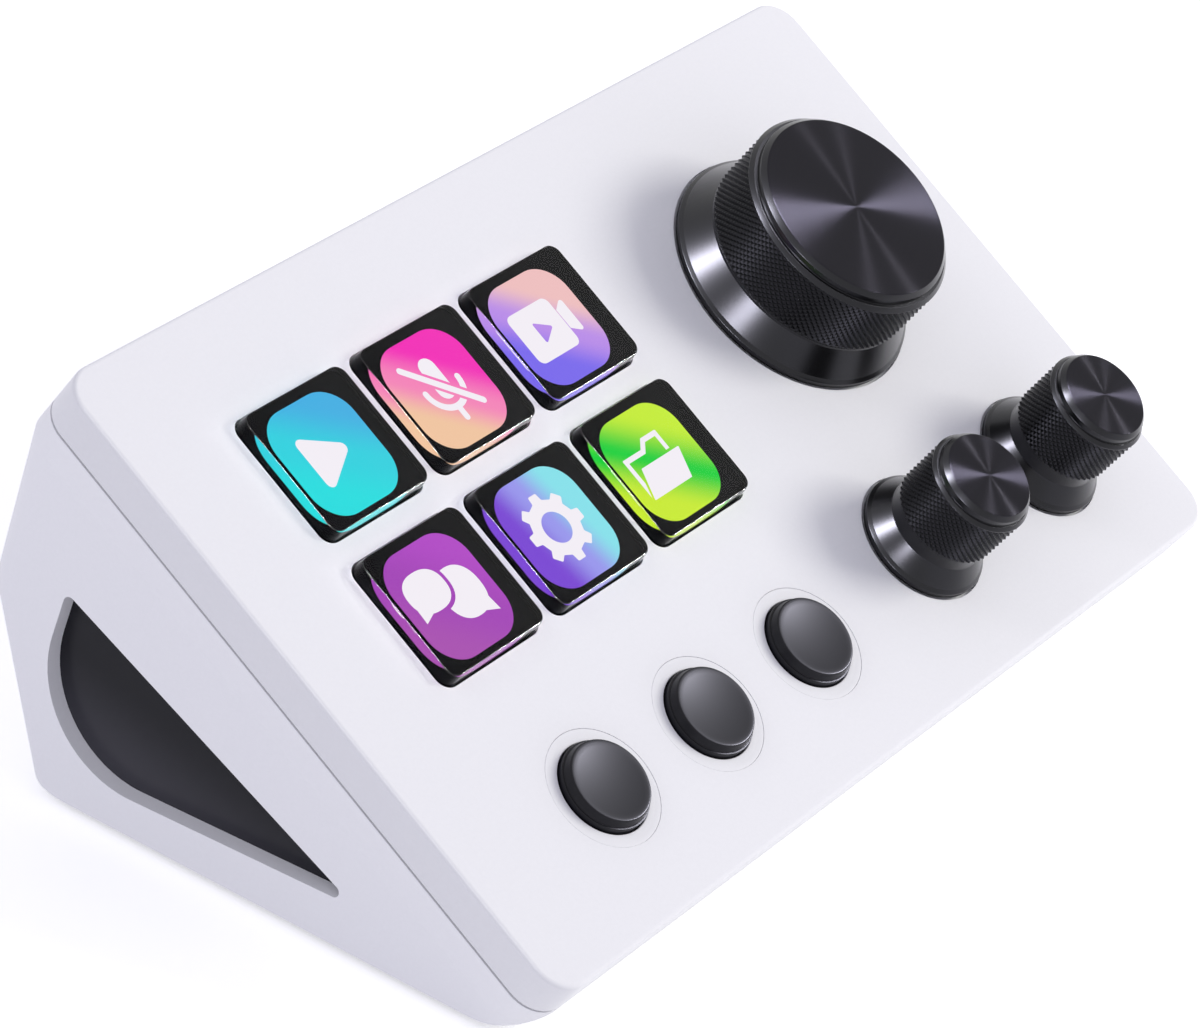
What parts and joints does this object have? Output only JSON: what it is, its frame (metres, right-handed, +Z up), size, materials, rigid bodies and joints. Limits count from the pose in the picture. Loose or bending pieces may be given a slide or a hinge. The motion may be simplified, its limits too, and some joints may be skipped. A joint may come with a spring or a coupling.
{
  "type": "macro keypad with knobs",
  "caption": "A white wedge-shaped desk keypad with lit square display keys, round push buttons and black knurled knobs that press and turn.",
  "frame": {"origin": "centre of the bounding box, at its bottom, on the desk under the feet", "axes": "+X to the user's right along the panel, +Y away from the user to the back, +Z up"},
  "size_m": [0.1342, 0.0758, 0.0513],
  "materials": {
    "white_shell": "satin moulded shell, cool white",
    "dark_inset": "gloss near-black panel in the side recess",
    "ring_plastic": "satin white trim ring with a shallow dish",
    "knob_black": "black anodised, spun face, knurled grip",
    "button_black": "charcoal, semi-gloss",
    "key_clear": "clear polished cap with black borders",
    "key_black": "black carrier",
    "foot_rubber": "soft black rubber",
    "plate_steel": "powder-coated light grey steel sheet",
    "screw_steel": "zinc-plated",
    "port_steel": "drawn stainless shell",
    "inner_plastic": "black moulding",
    "board_green": "solder mask, semi-gloss",
    "chip_black": "moulded package",
    "encoder_metal": "nickel-plated",
    "screen_1": "lit display, violet",
    "screen_2": "lit display, aqua to violet",
    "screen_3": "lit display, green with lime ends",
    "screen_4": "lit display, sky blue to turquoise",
    "screen_5": "lit display, magenta to peach",
    "screen_6": "lit display, peach to violet"
  },
  "bodies": {
    "root": {"top_cover": "white_shell", "lower_housing": "white_shell", "base_plate": "plate_steel", "rubber_feet": "foot_rubber", "base_screws": "screw_steel", "cover_screws": "screw_steel", "side_inset_left": "dark_inset", "side_inset_right": "dark_inset", "button_rings": "ring_plastic", "key_sockets": "inner_plastic", "main_board": "board_green", "board_screws": "screw_steel", "board_chips": "chip_black", "button_switches": "inner_plastic", "usb_port": "port_steel", "usb_tongue": "chip_black", "encoder_body_big": "encoder_metal", "encoder_body_left": "encoder_metal", "encoder_body_right": "encoder_metal", "encoder_nut": "screw_steel", "encoder_washer": "screw_steel"},
    "key_1": {"key_cap_1": "key_clear", "key_display_1": "screen_1", "key_carrier_1": "key_black"},
    "key_2": {"key_cap_2": "key_clear", "key_display_2": "screen_2", "key_carrier_2": "key_black"},
    "key_3": {"key_cap_3": "key_clear", "key_display_3": "screen_3", "key_carrier_3": "key_black"},
    "key_4": {"key_cap_4": "key_clear", "key_display_4": "screen_4", "key_carrier_4": "key_black"},
    "key_5": {"key_cap_5": "key_clear", "key_display_5": "screen_5", "key_carrier_5": "key_black"},
    "key_6": {"key_cap_6": "key_clear", "key_display_6": "screen_6", "key_carrier_6": "key_black"},
    "button_1": {"button_cap_1": "button_black", "button_plunger_1": "inner_plastic"},
    "button_2": {"button_cap_2": "button_black", "button_plunger_2": "inner_plastic"},
    "button_3": {"button_cap_3": "button_black", "button_plunger_3": "inner_plastic"},
    "push_big": {"push_pin_big": "screw_steel"},
    "dial_big": {"knob_big": "knob_black", "knob_hub_big": "inner_plastic", "encoder_shaft_big": "encoder_metal"},
    "push_left": {"push_pin_left": "screw_steel"},
    "dial_left": {"knob_left": "knob_black", "knob_hub_left": "inner_plastic", "encoder_shaft_left": "encoder_metal"},
    "push_right": {"push_pin_right": "screw_steel"},
    "dial_right": {"knob_right": "knob_black", "knob_hub_right": "inner_plastic", "encoder_shaft_right": "encoder_metal"}
  },
  "joints": [
    {"name": "press_key_1", "type": "slide", "parent": "root", "child": "key_1", "axis": [0, -0.5, 0.866], "range_m": [-0.001, 0], "stiffness_N_per_m": 500, "springref_m": 0.0012},
    {"name": "press_key_2", "type": "slide", "parent": "root", "child": "key_2", "axis": [0, -0.5, 0.866], "range_m": [-0.001, 0], "stiffness_N_per_m": 500, "springref_m": 0.0012},
    {"name": "press_key_3", "type": "slide", "parent": "root", "child": "key_3", "axis": [0, -0.5, 0.866], "range_m": [-0.001, 0], "stiffness_N_per_m": 500, "springref_m": 0.0012},
    {"name": "press_key_4", "type": "slide", "parent": "root", "child": "key_4", "axis": [0, -0.5, 0.866], "range_m": [-0.001, 0], "stiffness_N_per_m": 500, "springref_m": 0.0012},
    {"name": "press_key_5", "type": "slide", "parent": "root", "child": "key_5", "axis": [0, -0.5, 0.866], "range_m": [-0.001, 0], "stiffness_N_per_m": 500, "springref_m": 0.0012},
    {"name": "press_key_6", "type": "slide", "parent": "root", "child": "key_6", "axis": [0, -0.5, 0.866], "range_m": [-0.001, 0], "stiffness_N_per_m": 500, "springref_m": 0.0012},
    {"name": "press_button_1", "type": "slide", "parent": "root", "child": "button_1", "axis": [0, -0.5, 0.866], "range_m": [-0.0008, 0], "stiffness_N_per_m": 800, "springref_m": 0.001},
    {"name": "press_button_2", "type": "slide", "parent": "root", "child": "button_2", "axis": [0, -0.5, 0.866], "range_m": [-0.0008, 0], "stiffness_N_per_m": 800, "springref_m": 0.001},
    {"name": "press_button_3", "type": "slide", "parent": "root", "child": "button_3", "axis": [0, -0.5, 0.866], "range_m": [-0.0008, 0], "stiffness_N_per_m": 800, "springref_m": 0.001},
    {"name": "press_dial_big", "type": "slide", "parent": "root", "child": "push_big", "axis": [0, -0.5, 0.866], "range_m": [-0.0004, 0], "stiffness_N_per_m": 2000, "springref_m": 0.0015},
    {"name": "turn_dial_big", "type": "hinge", "parent": "push_big", "child": "dial_big", "pos_m": [0.03363, 0.0055, 0.03348], "axis": [0, -0.5, 0.866], "continuous": true},
    {"name": "press_dial_left", "type": "slide", "parent": "root", "child": "push_left", "axis": [0, -0.5, 0.866], "range_m": [-0.0004, 0], "stiffness_N_per_m": 2000, "springref_m": 0.0015},
    {"name": "turn_dial_left", "type": "hinge", "parent": "push_left", "child": "dial_left", "pos_m": [0.02191, -0.02328, 0.01687], "axis": [0, -0.5, 0.866], "continuous": true},
    {"name": "press_dial_right", "type": "slide", "parent": "root", "child": "push_right", "axis": [0, -0.5, 0.866], "range_m": [-0.0004, 0], "stiffness_N_per_m": 2000, "springref_m": 0.0015},
    {"name": "turn_dial_right", "type": "hinge", "parent": "push_right", "child": "dial_right", "pos_m": [0.04691, -0.02328, 0.01687], "axis": [0, -0.5, 0.866], "continuous": true}
  ]
}
